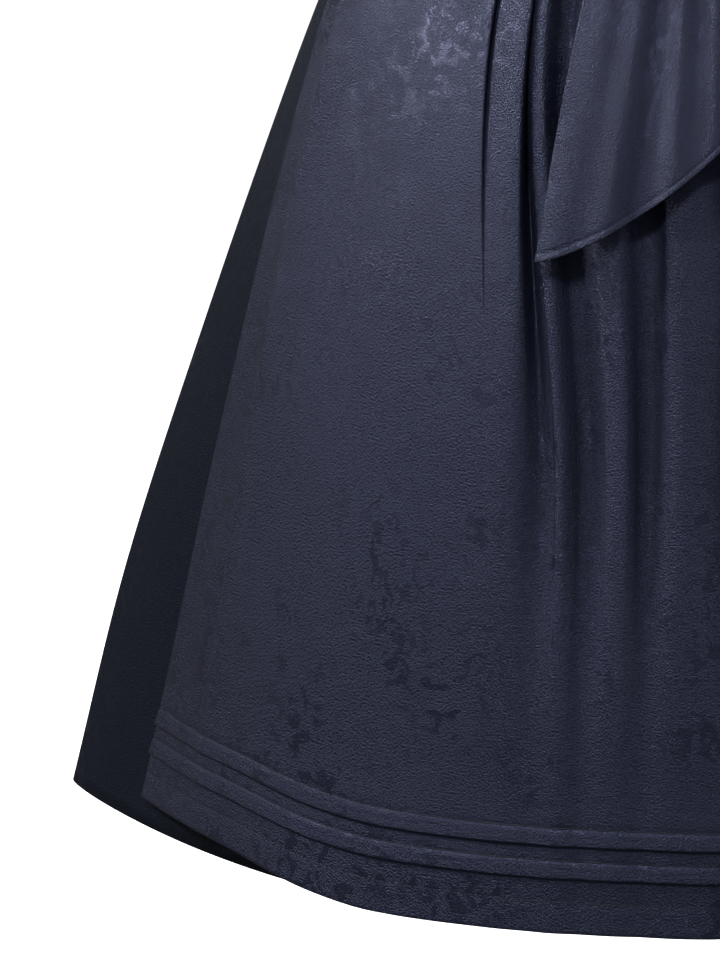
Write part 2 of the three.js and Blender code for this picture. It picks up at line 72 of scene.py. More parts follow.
def smooth(x, low, high):
    """0 up to low, 1 from high on, and a smooth step between."""
    t = np.clip((np.asarray(x, float) - low) / (high - low), 0, 1)
    return t * t * (3 - 2 * t)


def lerp(a, b, t):
    return a + (b - a) * t


def bump(x, at, width):
    """A soft bump of height 1."""
    return np.exp(-(((x - at) / width) ** 2))


# Height is above the waist, half is half the width, front and back are depths from the centre's y,
# and lens says how far the plan is lens-shaped and not an ellipse.
SECTION_KEYS = ("height", "half", "front", "back", "lens", "centre")
SECTIONS = dict(
    zip(
        SECTION_KEYS,
        zip(
            (-650, 349, 275, 262, 0.88, -10),
            (-520, 318, 252, 240, 0.84, -8),
            (-385, 275, 221, 212, 0.74, -5),
            (-250, 227, 184, 176, 0.56, -2),
            (-140, 184, 148, 140, 0.32, 0),
            (-60, 153, 119, 112, 0.1, 0),
            (0, 130, 98, 92, 0, 0),
            (70, 136, 102, 92, 0, 0),
            (140, 146, 107, 93, 0, 0),
            (205, 154, 111, 95, 0, 0),
            (260, 152, 108, 97, 0, 0),
            (330, 143, 92, 94, 0, 0),
            (400, 126, 66, 78, 0, 0),
        ),
    )
)
LENS_POWER = 2.45


def section(key, height):
    """One size of the plan at a height above the waist."""
    return through(SECTIONS["height"], SECTIONS[key], height)


def quarter(angle, half, depth, lens):
    """A quarter of the plan by its angle from the centre line, and its direction there."""
    share, rest = np.sin(angle), np.cos(angle)
    x = half * share
    y = depth * ((1 - lens) * rest + lens * (1 - share**LENS_POWER))
    dx = half * rest
    dy = -depth * ((1 - lens) * share + lens * LENS_POWER * share ** (LENS_POWER - 1) * rest)
    return x, y, dx, dy


def placed(angle, is_right, is_front, height, out):
    """Points of the plan by their angle in a quarter, moved out at right angles to the cloth."""
    depth = np.where(is_front, section("front", height), section("back", height))
    x, y, dx, dy = quarter(angle, section("half", height), depth, section("lens", height))
    length = np.hypot(dx, dy)
    x, y = x - out * dy / length, y + out * dx / length
    y = np.where(is_front, -y, y) + section("centre", height)
    return np.stack([np.where(is_right, -x, x), y, WAIST_Z + height], axis=-1)


ARC_STEP = 5.0
ARC_HEIGHTS = np.arange(-650.0, 401.0, ARC_STEP)
ARC_SHARES = np.linspace(0, 1, 161)
ARC_SAMPLES = 241
INSIDE_LAST = 1.001


def arc_table(depth_key):
    """Angles at equal shares of a quarter's arc, for each of ARC_HEIGHTS."""
    angles = np.linspace(0, np.pi / 2, ARC_SAMPLES)
    table = []
    for height in ARC_HEIGHTS:
        sizes = (section(key, height) for key in ("half", depth_key, "lens"))
        x, y, _, _ = quarter(angles, *sizes)
        arc = np.concatenate([[0], np.cumsum(np.hypot(np.diff(x), np.diff(y)))])
        table.append(np.interp(ARC_SHARES, arc / arc[-1], angles))
    return np.array(table)


ARC_ANGLES = {"front": arc_table("front"), "back": arc_table("back")}


def read_table(table, height, share):
    """The angle at a height and a share of the arc, between the table's four nearest values."""
    row = np.clip((height - ARC_HEIGHTS[0]) / ARC_STEP, 0, len(ARC_HEIGHTS) - INSIDE_LAST)
    column = np.clip(share * (len(ARC_SHARES) - 1), 0, len(ARC_SHARES) - INSIDE_LAST)
    j, i = row.astype(int), column.astype(int)
    v, u = row - j, column - i
    low = lerp(table[j, i], table[j, i + 1], u)
    return lerp(low, lerp(table[j + 1, i], table[j + 1, i + 1], u), v)


def wrapped(place):
    """The same place round the dress, from -2 to 2."""
    return place - WHOLE_TURN * np.round(place / WHOLE_TURN)


def around(place, height, out=0.0):
    """Points by place: 0 is the centre front, 1 and -1 the side seams, 2 and -2 the centre back."""
    place, height, out = np.broadcast_arrays(
        np.asarray(place, float), np.asarray(height, float), np.asarray(out, float)
    )
    turn = wrapped(place)
    is_front = np.abs(turn) <= 1
    share = np.where(is_front, np.abs(turn), 2 - np.abs(turn))
    angle = np.where(
        is_front,
        read_table(ARC_ANGLES["front"], height, share),
        read_table(ARC_ANGLES["back"], height, share),
    )
    return placed(angle, turn < 0, is_front, height, out)


def across(x, height, out=0.0):
    """The front of the dress at a distance from the centre front, measured straight across."""
    x, height, out = np.broadcast_arrays(
        np.asarray(x, float), np.asarray(height, float), np.asarray(out, float)
    )
    angle = np.arcsin(np.clip(np.abs(x) / section("half", height), 0, 1))
    return placed(angle, x < 0, True, height, out)


def ripples(u, v, seed, count, u_size, v_size):
    """Soft uneven waves of about unit height, with features of the given sizes."""
    draw = np.random.default_rng(seed)
    total = np.zeros(np.broadcast(u, v).shape)
    for _ in range(count):
        across_rate, along_rate = draw.normal(0, 1 / u_size), draw.normal(0, 1 / v_size)
        phase = draw.uniform(0, 2 * np.pi)
        total += np.sin(2 * np.pi * (across_rate * u + along_rate * v) / 2 + phase)
    return total / math.sqrt(count / 2)


def knots(values, t):
    """Catmull-Rom curve through the last axis of values, read at positions t along it."""
    last = values.shape[-1] - 1
    i = np.clip(np.floor(t).astype(int), 0, last - 1)
    s = t - i
    p0, p1 = values[..., np.maximum(i - 1, 0)], values[..., i]
    p2, p3 = values[..., i + 1], values[..., np.minimum(i + 2, last)]
    return 0.5 * (
        2 * p1
        + (p2 - p0) * s
        + (2 * p0 - 5 * p1 + 4 * p2 - p3) * s**2
        + (3 * p1 - p0 - 3 * p2 + p3) * s**3
    )


# Materials


class Nodes:
    """A short way to build one material's node tree."""

    def __init__(self, name):
        self.material = bpy.data.materials.new(name)
        self.material.use_nodes = True
        self.tree = self.material.node_tree
        self.shader = self.tree.nodes["Principled BSDF"]

    def add(self, kind, inputs=None, **settings):
        node = self.tree.nodes.new(kind)
        for key, value in settings.items():
            setattr(node, key, value)
        for key, value in (inputs or {}).items():
            self.give(node.inputs[key], value)
        return node

    def give(self, socket, value):
        if isinstance(value, bpy.types.NodeSocket):
            self.tree.links.new(value, socket)
        else:
            socket.default_value = value

    def math(self, operation, *values):
        node = self.add("ShaderNodeMath", operation=operation)
        for socket, value in zip(node.inputs, values):
            self.give(socket, value)
        return node.outputs[0]

    def ramp(self, value, low, high, to_low=0.0, to_high=1.0):
        node = self.add("ShaderNodeMapRange", interpolation_type="SMOOTHSTEP")
        for socket, number in zip(node.inputs, (value, low, high, to_low, to_high)):
            self.give(socket, number)
        return node.outputs[0]

    def mix(self, share, first, second):
        node = self.add("ShaderNodeMix", data_type="RGBA")
        for index, value in ((0, share), (6, first), (7, second)):
            self.give(node.inputs[index], value)
        return node.outputs[2]

    def noise(self, where, scale, detail=2.0, distortion=0.0, roughness=0.5):
        inputs = {"Vector": where, "Scale": scale, "Detail": detail}
        inputs.update({"Distortion": distortion, "Roughness": roughness})
        return self.add("ShaderNodeTexNoise", inputs).outputs["Fac"]


GRAIN_SCALE = 950.0  # features per metre of cloth, here and in the next three
LEAF_SCALE = 95.0
PATCH_SCALE = 17.0
DYE_SCALE = 9.0
GRAIN_EDGE = (0.36, 0.64)  # the noise below which there is none and above which it is full
LEAF_EDGE = (0.49, 0.6)
PATCH_EDGE = (0.4, 0.62)
DYE_EDGE = (0.3, 0.7)
FAINTEST_PATCH = 0.35
DYE_RANGE = (0.92, 1.08)
GRAIN_UNDER_SATIN = 0.35
SATIN_HEIGHT = 0.5
RELIEF_STRENGTH = 0.6
THREAD_SHEEN = 0.7


def jacquard(name, ground, figure, gloss, level, relief, tint):
    """Woven cloth: a grainy ground with small smooth leaves, whose threads catch the light.

    ground and figure are the two threads' colours, and gloss is the roughness of ground and leaf.
    """
    n = Nodes(name)
    cloth = n.add("ShaderNodeAttribute", attribute_name="cloth").outputs["Vector"]
    grain = n.ramp(n.noise(cloth, GRAIN_SCALE, roughness=0.6), *GRAIN_EDGE)
    leaves = n.ramp(n.noise(cloth, LEAF_SCALE, detail=1.5, distortion=1.4), *LEAF_EDGE)
    patches = n.ramp(n.noise(cloth, PATCH_SCALE, distortion=0.3), *PATCH_EDGE, FAINTEST_PATCH, 1.0)
    satin = n.math("MULTIPLY", leaves, patches)
    rough_ground = n.math("MULTIPLY", grain, n.ramp(satin, 0.0, 1.0, 1.0, GRAIN_UNDER_SATIN))
    dye = n.ramp(n.noise(cloth, DYE_SCALE, detail=3.0), *DYE_EDGE, *DYE_RANGE)
    colour = n.mix(grain, (*ground, 1), (*figure, 1))
    shade = n.add("ShaderNodeHueSaturation", {"Color": colour, "Value": dye})
    n.give(n.shader.inputs["Base Color"], shade.outputs[0])
    rough = n.add("ShaderNodeMapRange", {"Value": satin, "To Min": gloss[0], "To Max": gloss[1]})
    n.give(n.shader.inputs["Roughness"], rough.outputs[0])
    n.shader.inputs["Specular IOR Level"].default_value = level
    n.shader.inputs["Specular Tint"].default_value = (*tint, 1)
    n.shader.inputs["Anisotropic"].default_value = THREAD_SHEEN
    round_the_dress = n.add("ShaderNodeTangent", direction_type="RADIAL", axis="Z")
    n.give(n.shader.inputs["Tangent"], round_the_dress.outputs[0])
    height = n.math("ADD", rough_ground, n.math("MULTIPLY", satin, SATIN_HEIGHT))
    weave = {"Height": height, "Strength": RELIEF_STRENGTH, "Distance": relief}
    n.give(n.shader.inputs["Normal"], n.add("ShaderNodeBump", weave).outputs[0])
    return n.material


def thread_material(name, colour):
    """Matt sewing thread, darker between its fibres."""
    n = Nodes(name)
    fuzz = n.noise(n.add("ShaderNodeTexCoord").outputs["Object"], 2500.0)
    between = (*(0.6 * c for c in colour), 1)
    n.give(n.shader.inputs["Base Color"], n.mix(fuzz, between, (*colour, 1)))
    n.shader.inputs["Roughness"].default_value = 0.6
    return n.material


SKIRT_CLOTH = jacquard(
    "skirt_jacquard",
    ground=(0.0045, 0.0062, 0.012),
    figure=(0.0088, 0.0118, 0.022),
    gloss=(0.55, 0.4),
    level=0.2,
    relief=0.0005,
    tint=(0.6, 0.75, 1.0),
)
APRON_CLOTH = jacquard(
    "apron_satin",
    ground=(0.005, 0.006, 0.013),
    figure=(0.0165, 0.0188, 0.037),
    gloss=(0.38, 0.305),
    level=0.7,
    relief=0.00045,
    tint=(0.52, 0.58, 0.98),
)
TIE_CLOTH = jacquard(
    "ribbon_satin",
    ground=(0.006, 0.007, 0.0145),
    figure=(0.019, 0.0215, 0.041),
    gloss=(0.42, 0.35),
    level=0.6,
    relief=0.00045,
    tint=(0.52, 0.58, 0.98),
)
DARK_THREAD = thread_material("dark_thread", (0.008, 0.009, 0.018))

# Cloth pieces


def put(name, data):
    """An object in the scene with this mesh, camera or light."""
    item = bpy.data.objects.new(name, data)
    bpy.context.collection.objects.link(item)
    return item


def finish_cloth(mesh, flat, material):
    """Shade a mesh smoothly and give each point its place in the flat cloth, in metres."""
    mesh.polygons.foreach_set("use_smooth", np.ones(len(mesh.polygons), bool))
    mesh.attributes.new("cloth", "FLOAT_VECTOR", "POINT").data.foreach_set("vector", flat.ravel())
    mesh.materials.append(material)


def grid_object(name, points, cloth, thickness, material):
    """A sheet from a grid of points in mm, rows upwards, with its place in the flat cloth in mm."""
    high, wide = points.shape[:2]
    index = np.arange(high * wide).reshape(high, wide)
    corners = (index[:-1, :-1], index[:-1, 1:], index[1:, 1:], index[1:, :-1])
    faces = np.stack(corners, axis=-1).reshape(-1, 4)
    mesh = bpy.data.meshes.new(name)
    mesh.from_pydata((points.reshape(-1, 3) * MM).tolist(), [], faces.tolist())
    flat = np.zeros((high * wide, 3))
    flat[:, :2] = cloth.reshape(-1, 2) * MM
    finish_cloth(mesh, flat, material)
    piece = put(name, mesh)
    solid = piece.modifiers.new("cloth", "SOLIDIFY")
    solid.thickness = thickness * MM
    solid.offset = -1
    solid.use_even_offset = False
    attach(piece, "root")
    return piece


def cloth_map(points, u0=0.0):
    """Flat cloth coordinates of a grid: the mean arc lengths along its rows and up its columns."""
    step_across = np.linalg.norm(np.diff(points, axis=1), axis=-1)
    step_up = np.linalg.norm(np.diff(points, axis=0), axis=-1)
    u = np.concatenate([np.zeros((len(points), 1)), np.cumsum(step_across, axis=1)], axis=1)
    u -= u[:, u.shape[1] // 2, None]
    v = np.concatenate([[0], np.cumsum(step_up.mean(axis=1))])
    return np.stack([u + u0, np.broadcast_to(v[:, None], u.shape)], axis=-1)


def cloth_piece(name, points, material, thickness, node, u0=0.0):
    """A sheet that stands in for one node of the frame, its thickness inside the given points."""
    piece = grid_object(name, points, cloth_map(points, u0), thickness, material)
    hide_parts(node)
    return piece


# Skirt

SKIRT_FOLDS = (  # waist place, hem place, width, depth at the hem
    (-1.93, -1.90, 0.085, 11),
    (-1.70, -1.66, 0.070, 15),
    (-1.50, -1.44, 0.085, 10),
    (-1.26, -1.21, 0.060, 13),
    (0.88, 0.90, 0.040, 5),
    (1.17, 1.13, 0.060, 8),
    (1.36, 1.34, 0.075, 14),
    (1.62, 1.58, 0.070, 10),
    (1.83, 1.80, 0.080, 14),
)
SKIRT_GATHERS = 9
GATHER_DROPS = (0, 28, 60, 120, 190)
GATHER_DEPTHS = (0.5, 0.5, 2, 1.2, 0)
SKIRT_RIPPLE = 1.1
UNDER_APRON = 0.25
GORE_COLUMNS = 111
GORE_DROPS = np.concatenate([np.linspace(SKIRT_LENGTH, 130, 70), np.linspace(124, 0.2, 30)])
CLOTH_PER_PLACE = 300  # about how many mm of cloth there are from one place to the next
PATTERN_PER_PLACE = 600  # so that no two gores show the same part of the pattern


def skirt_out(place, height):
    """The skirt's stand-off from the plan: gathers at the back waist, and folds down to the hem."""
    drop = -height
    fall = drop / SKIRT_LENGTH
    depth = through(GATHER_DROPS, GATHER_DEPTHS, np.clip(drop, 0, GATHER_DROPS[-1]))
    waves = np.sin(2 * np.pi * SKIRT_GATHERS * place)
    out = smooth(np.abs(place), 0.97, 1.1) * depth * waves
    for waist, hem, width, swell in SKIRT_FOLDS:
        size = width * (0.7 + 0.3 * fall)
        away = wrapped(place - lerp(waist, hem, fall))
        out = out + swell * smooth(drop, 40, SKIRT_LENGTH) * bump(away, 0, size)
    return out * smooth(np.abs(place), 0.4, 0.9)


def skirt_gore(node, start, end):
    """A gore between two places; its ripples fade under the apron and at the centre back seam."""
    place, height = np.meshgrid(np.linspace(start, end, GORE_COLUMNS), -GORE_DROPS)
    soft = ripples(place * CLOTH_PER_PLACE, height, seed=11, count=14, u_size=90, v_size=420)
    soft = soft * smooth(-height, 60, 300)
    soft = soft * lerp(UNDER_APRON, 1.0, smooth(np.abs(place), 0.7, 0.95))
    soft = soft * smooth(2 - np.abs(place), 0, 0.1)
    return cloth_piece(
        node.replace("skirt", "gore"),
        around(place, height, skirt_out(place, height) + SKIRT_RIPPLE * soft),
        SKIRT_CLOTH,
        0.9,
        node,
        u0=PATTERN_PER_PLACE * (start + end) / 2,
    )


GORES = {
    node: skirt_gore(node, start, end)
    for node, start, end in (
        ("skirt_back_right", -2, -1),
        ("skirt_front_right", -1, 0),
        ("skirt_front_left", 0, 1),
        ("skirt_back_left", 1, 2),
    )
}

# Apron

BAND_OUT = 2.0
LINE_DROPS = (26, 200, 425, 645)
OUT_DROPS = (26, 200, 320, 425, 540, 645)
# Each row is a line of cloth down the apron, from the wearer's right to left: its distances from the
# centre front at LINE_DROPS, and its stand-offs at OUT_DROPS but the first, where it is BAND_OUT.
APRON_LINES = (
    ((-134, -200, -255, -299), (3.6, 4, 4.4, 5, 6.2)),
    ((-130, -195.5, -250, -295), (4.8, 5.2, 5.6, 6.2, 7.2)),
    ((-126, -190, -243, -290), (6.2, 6.6, 7, 7.4, 8.2)),
    ((-123, -183.5, -235.5, -285), (9, 9.4, 9.6, 9.4, 9.4)),
    ((-120, -177, -228, -280), (12, 12.2, 12, 11.2, 10.4)),
    ((-117.4, -170.5, -219.5, -275.5), (13.4, 13.6, 13.4, 12.4, 11.4)),
    ((-118, -171, -219.5, -271), (14.4, 14.6, 14.4, 13.4, 12.2)),
    ((-120.5, -176, -223.5, -266.5), (15.2, 15.4, 15.2, 14.2, 13)),
    ((-121.5, -180, -227.4, -263), (16.4, 16.6, 16.4, 15, 13.8)),
    ((-120.6, -179.4, -227, -260), (17.8, 18, 17.8, 16, 14.6)),
    ((-117.5, -176.4, -224, -256.5), (18.2, 18.4, 18.2, 16.8, 15.6)),
    ((-111, -170, -214.5, -246), (18, 18.4, 18.6, 18, 17.8)),
    ((-102, -161, -201, -230), (17.2, 17.8, 18.6, 19.2, 20)),
    ((-94, -151, -186, -211), (16.2, 17.4, 18.6, 20.2, 22.4)),
    ((-86, -140, -168, -189), (17, 18.2, 19.5, 21.4, 24)),
    ((-78.5, -129.5, -148.5, -163), (17.4, 18.8, 20, 22, 25)),
    ((-72, -119, -131, -143), (17.2, 18.8, 20.2, 22.4, 25.5)),
    ((-67, -110.5, -118, -129), (16.8, 18.6, 20.2, 22.6, 25.8)),
    ((-63.5, -104.8, -110, -119), (18, 18.4, 20.2, 22.8, 26)),
    ((-62, -102.2, -105.5, -113), (18, 19, 20.2, 22.8, 26)),
    ((-61.6, -101.6, -103.5, -110), (17, 18.7, 20.2, 22.8, 26)),
    ((-62, -102.2, -102.5, -108), (15, 18.3, 20.2, 22.7, 26)),
    ((-62.2, -102.9, -101.5, -106), (14, 18.2, 20.2, 22.6, 26)),
    ((-61.5, -101.4, -100, -104), (15, 18.4, 20.2, 22.5, 26)),
    ((-59.5, -98.5, -98, -101), (16.8, 18.8, 20.2, 22.4, 26)),
    ((-56, -94, -95.5, -97.5), (18.6, 19, 20.1, 22.2, 26)),
    ((-53, -88.5, -92.5, -94), (20, 19.8, 19.6, 22, 25.9)),
    ((-50.6, -84.8, -89.3, -91), (20.4, 20, 18.6, 21.6, 25.8)),
    ((-49.8, -82.8, -86.2, -88.5), (19.4, 19, 16.8, 21, 25.6)),
    ((-49.9, -83.6, -83.6, -86), (15.4, 15.6, 14.4, 20.4, 25.5)),
    ((-50.6, -85.8, -81, -83.5), (10.6, 11.4, 12.2, 19.9, 25.4)),
    ((-50.8, -87, -78.2, -81), (6.5, 8, 10.4, 19.6, 25.3)),
    ((-50.2, -86.6, -75, -78), (10.4, 10.6, 10.4, 19.8, 25.4)),
    ((-48.6, -84, -71.8, -75), (14.8, 13.6, 11.8, 20.2, 25.6)),
    ((-46.5, -80.5, -70, -73), (17.2, 15.8, 14.4, 20.8, 25.8)),
    ((-44, -76, -66.5, -70), (17.4, 15.6, 14.6, 21.4, 26)),
    ((-42.5, -73.5, -62.5, -65.5), (14, 11.6, 11.2, 21.0, 26)),
    ((-41, -71, -59.5, -62), (10, 8, 8.2, 19.8, 25.8)),
    ((-38.5, -65.5, -55, -58), (7.4, 6.6, 7, 19.2, 25.6)),
    ((-36, -59, -49.5, -53.5), (11.5, 10, 9.6, 20, 25.7)),
    ((-33, -53, -45, -49), (16, 15, 14.4, 21.6, 26)),
    ((-27.5, -43.5, -37, -41), (17.8, 17, 17.2, 22.6, 26.4)),
    ((-23, -39.5, -33.5, -36.5), (14.5, 14.4, 15, 22.2, 26.3)),
    ((-20, -34.5, -29.8, -32), (10.5, 10.4, 11.2, 21.2, 26)),
    ((-17.5, -28, -25, -28), (8, 8.2, 9.6, 20.6, 25.7)),
    ((-14.5, -22, -20.5, -24), (12, 10.6, 12, 21.2, 25.8)),
    ((-10.5, -17, -16, -18), (17, 16.5, 16.5, 22.4, 26.2)),
    ((-4, -7, -8, -9), (18.6, 18.4, 18.8, 23, 26.6)),
    ((3, 5, 5, 6), (15.6, 15.8, 16.4, 22.4, 26.2)),
    ((8, 14, 15, 15), (9, 9.8, 12, 21.2, 25)),
    ((14, 23, 24, 25), (17, 17, 18, 22.6, 26)),
    ((22, 36, 38, 39), (18, 18.4, 19.5, 23.2, 27)),
    ((30, 50, 52, 53), (13, 13.2, 14, 22, 26)),
    ((35, 60, 62, 63), (7, 8, 10, 20.6, 24.5)),
    ((39.5, 67, 70, 72), (16, 16, 17, 22, 25.5)),
    ((46, 79, 83, 87), (18, 18.6, 20, 23, 26)),
    ((54, 94, 99, 105), (15, 16, 18, 22.4, 25.5)),
    ((60, 105, 108, 118), (8, 9.6, 13, 20.8, 24.5)),
    ((64, 111, 116, 128), (16, 16.4, 17.5, 21.6, 25)),
    ((72, 123, 134, 150), (17.5, 18.4, 20, 22, 25)),
    ((84, 140, 158, 178), (17, 18, 19.5, 21.4, 24)),
    ((97, 158, 184, 209), (16, 17, 18, 20, 22)),
    ((109, 172, 208, 239), (15, 16, 17, 18.4, 20)),
    ((117.5, 180.5, 224.5, 263), (14, 14.5, 15, 15.8, 17)),
    ((121.6, 185, 233, 274), (11.6, 12, 12.6, 13.2, 14)),
    ((122.2, 185, 233.5, 277), (9.4, 9.8, 10.2, 11.2, 12.5)),
    ((121.8, 182, 230, 278.5), (7, 7.4, 8, 9.6, 11.5)),
    ((122.6, 182.5, 230.5, 281.5), (5, 5.4, 6.4, 8.4, 10.5)),
    ((126, 188.5, 238.5, 287), (4.4, 4.8, 5.6, 7.2, 9)),
    ((130, 194.5, 247.5, 292), (4.4, 4.8, 5.4, 6.6, 8)),
    ((134, 199, 252.5, 297.5), (4.6, 5, 5.6, 6.2, 7)),
)
APRON_HEM = 646.0
APRON_HEM_LIFT = 12.5
TUCK_WIDTH = 8.6
TUCK_EDGES = (40.5, 24.5)
TUCK_SPREAD = 2.8
HEM_TURNING = 14.0
APRON_TOP = 26.3
APRON_GATHER = 1.5
APRON_RIPPLE = 0.55
CREASE_HEIGHT = 2.2
CREASE_START = (-150, 165)
CREASE_END = (-178, 235)


def apron_lines():
    """For each line of cloth, its distances and its stand-offs."""
    x = np.array([line[0] for line in APRON_LINES], float)
    out = np.array([(BAND_OUT, *line[1]) for line in APRON_LINES], float)
    return x, out


LINE_X, LINE_OUT = apron_lines()
LAST_LINE = len(LINE_X) - 1
APRON_COLUMNS = np.linspace(0, LAST_LINE, 281)


def at_drop(drops, table, drop):
    """Each line's value at its own drop: table is lines by drops, drop is rows by lines."""
    return np.stack([through(drops, row, drop[:, k]) for k, row in enumerate(table)], axis=1)


def apron_surface(drop_of_line, raise_out, columns=APRON_COLUMNS):
    """Points of the apron: rows of drops for each line, read between the lines at columns.

    On the lines' own folds lie small gathers below the band, ripples and one slanting crease.
    """
    x = knots(at_drop(LINE_DROPS, LINE_X, drop_of_line), columns)
    out = knots(at_drop(OUT_DROPS, LINE_OUT, drop_of_line), columns)
    drop = knots(drop_of_line, columns)
    gather = smooth(drop, 26, 60) * (1 - smooth(drop, 60, 190))
    waves = np.sin(2 * np.pi * 0.5 * columns + 0.6 * np.sin(columns))
    wander = ripples(x, drop, seed=5, count=16, u_size=60, v_size=500) * smooth(drop, 60, 220)
    along = (drop - CREASE_START[1]) / (CREASE_END[1] - CREASE_START[1])
    crease = bump(x, lerp(CREASE_START[0], CREASE_END[0], along), 12) * smooth(drop, 40, 140)
    crease = crease * (1 - smooth(drop, 205, 285))
    out = out + gather * APRON_GATHER * waves
    return across(x, -drop, out + APRON_RIPPLE * wander + CREASE_HEIGHT * crease + raise_out)


def above_hem(height):
    """Each line's drop at a height above the hem, which rises towards the apron's two edges."""
    side = smooth(np.abs(LINE_X[:, -1]), 150, 255)
    spread = TUCK_SPREAD * smooth(height, 6, 22) * (1 - side)
    return APRON_HEM - APRON_HEM_LIFT * side - height - spread


def tuck_rows(edge):
    """Heights above the hem and stand-offs of the rows of a tuck whose edge is at the given height.

    From below: up the plain cloth, down the tuck's hidden side, round its edge and up its face.
    """
    stitch = edge + TUCK_WIDTH
    return [
        (edge - 1.2, 0.0),
        (edge + 2, 0.0),
        (edge + 5, 0.0),
        (stitch - 0.9, 0.0),
        (stitch - 0.4, 0.15),
        (stitch - 0.9, 0.3),
        (edge + 5, 0.55),
        (edge + 2, 0.9),
        (edge + 0.5, 1.1),
        (edge, 1.45),
        (edge + 0.3, 1.75),
        (edge + 0.8, 1.8),
        (edge + 3, 1.45),
        (edge + 5.4, 1.1),
        (stitch - 1.2, 0.8),
        (stitch - 0.4, 0.65),
        (stitch, 0.3),
        (stitch + 0.6, 0.4),
        (stitch + 2.5, 0.45),
    ]


def apron_rows():
    """Height above the hem and stand-off of each row, from the hem up to the plain cloth."""
    rows = [(0.0, 0.3), (0.4, 0.5), (2.0, 0.5), (5.0, 0.4), (9.0, 0.25)]
    rows += [(HEM_TURNING - 0.6, 0.15), (HEM_TURNING, 0.0), (HEM_TURNING + 0.6, 0.05), (18.0, 0.0)]
    for edge in reversed(TUCK_EDGES):
        rows += tuck_rows(edge)
    top = TUCK_EDGES[0] + TUCK_WIDTH
    rows += [(top + 5, 0.5), (top + 9, 0.3), (top + 14, 0.1)]
    return np.array(rows)


def make_apron():
    """The hem and tucks in close rows, then rows up to the band, closer together in its gathers."""
    rows = apron_rows()
    low = above_hem(rows[:, :1])
    share = np.concatenate([np.linspace(0.02, 0.78, 84), np.linspace(0.788, 1, 34)])
    high = lerp(low[-1:], APRON_TOP, share[:, None])
    lift = np.concatenate([rows[:, 1], np.zeros(len(high))])
    points = apron_surface(np.concatenate([low, high]), lift[:, None])
    return cloth_piece("apron_cloth", points, APRON_CLOTH, 0.6, "apron")


apron = make_apron()


STITCH_LENGTH = 1.9
STITCH_PITCH = 2.8
THREAD_WIDTH = 0.28
THREAD_DEPTH = 0.22
STITCH_COLUMNS = np.linspace(0.02, LAST_LINE - 0.02, 700)
STITCH_ROWS = (  # height above the hem, stand-off
    (TUCK_EDGES[0] + TUCK_WIDTH, 0.35),
    (TUCK_EDGES[1] + TUCK_WIDTH, 0.35),
    (HEM_TURNING, 0.05),
)
BAR_RINGS = ((0.0, 0.35), (0.2, 1.0), (0.8, 1.0), (1.0, 0.35))  # share of the length, size
BAR_SIDES = ((1, 0), (0, 1), (-1, 0), (0, -1))


def bar_faces():
    """The faces of one four-sided bar, its points being numbered ring by ring."""
    faces = [(0, 1, 2, 3), (15, 14, 13, 12)]
    for ring in range(len(BAR_RINGS) - 1):
        for k in range(4):
            a, b = 4 * ring + k, 4 * ring + (k + 1) % 4
            faces.append((a, a + 4, b + 4, b))
    return np.array(faces)


def stitches(name, line):
    """Short raised threads along a line of points in mm, each a tapered four-sided bar."""
    steps = np.linalg.norm(np.diff(line, axis=0), axis=1)
    arc = np.concatenate([[0], np.cumsum(steps)])
    starts = np.arange(STITCH_PITCH / 2, arc[-1] - STITCH_LENGTH, STITCH_PITCH)
    first, last = (
        np.stack([np.interp(s, arc, line[:, k]) for k in range(3)], axis=-1)
        for s in (starts, starts + STITCH_LENGTH)
    )
    forward = last - first
    forward /= np.linalg.norm(forward, axis=1)[:, None]
    outward = np.stack([forward[:, 1], -forward[:, 0], np.zeros(len(first))], axis=1)
    outward /= np.linalg.norm(outward, axis=1)[:, None]
    upward = np.cross(outward, forward)
    outward *= THREAD_DEPTH
    upward *= THREAD_WIDTH
    rings = [
        lerp(first, last, share) + size * (a * outward + b * upward)
        for share, size in BAR_RINGS
        for a, b in BAR_SIDES
    ]
    points = np.stack(rings, axis=1)
    offsets = points.shape[1] * np.arange(len(points))[:, None, None]
    faces = (bar_faces()[None] + offsets).reshape(-1, 4)
    mesh = bpy.data.meshes.new(name)
    mesh.from_pydata((points.reshape(-1, 3) * MM).tolist(), [], faces.tolist())
    mesh.materials.append(DARK_THREAD)
    piece = put(name, mesh)
    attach(piece, "root")
    return piece


apron_stitches = [
    stitches(f"stitches_{i}", apron_surface(above_hem(height)[None, :], lift, STITCH_COLUMNS)[0])
    for i, (height, lift) in enumerate(STITCH_ROWS)
]

# Band and ties

BAND_REACH = 0.87
TIE_JOIN = BAND_REACH + 0.01
BAND_HEIGHTS = (-26, 18)
TIE_HEIGHTS = (-20, 15)
TIE_FRONT_OUT = 3.9
TIE_BACK_OUT = 2.6
TIE_CREASE = 0.35
KNOT_REACH = 0.1


def sash(name, node, start, end, heights, out, material, count):
    """A strip of cloth lying round the waist; the ties, being softer, are creased along it."""
    place, height = np.meshgrid(np.linspace(start, end, count), np.linspace(*heights, 17))
    share = (height - heights[0]) / (heights[1] - heights[0])
    is_tie = material is TIE_CLOTH
    crease = TIE_CREASE * is_tie * np.sin(2 * np.pi * (2.2 * share + 0.5 * np.sin(3 * place)))
    points = around(place, height, out + crease * (4 * share * (1 - share)) ** 0.5)
    return cloth_piece(name, points, material, 1.0, node)


def tie(node, start, end, out, count):
    """A stretch of the tie, between two places."""
    return sash(node + "_cloth", node, start, end, TIE_HEIGHTS, out, TIE_CLOTH, count)


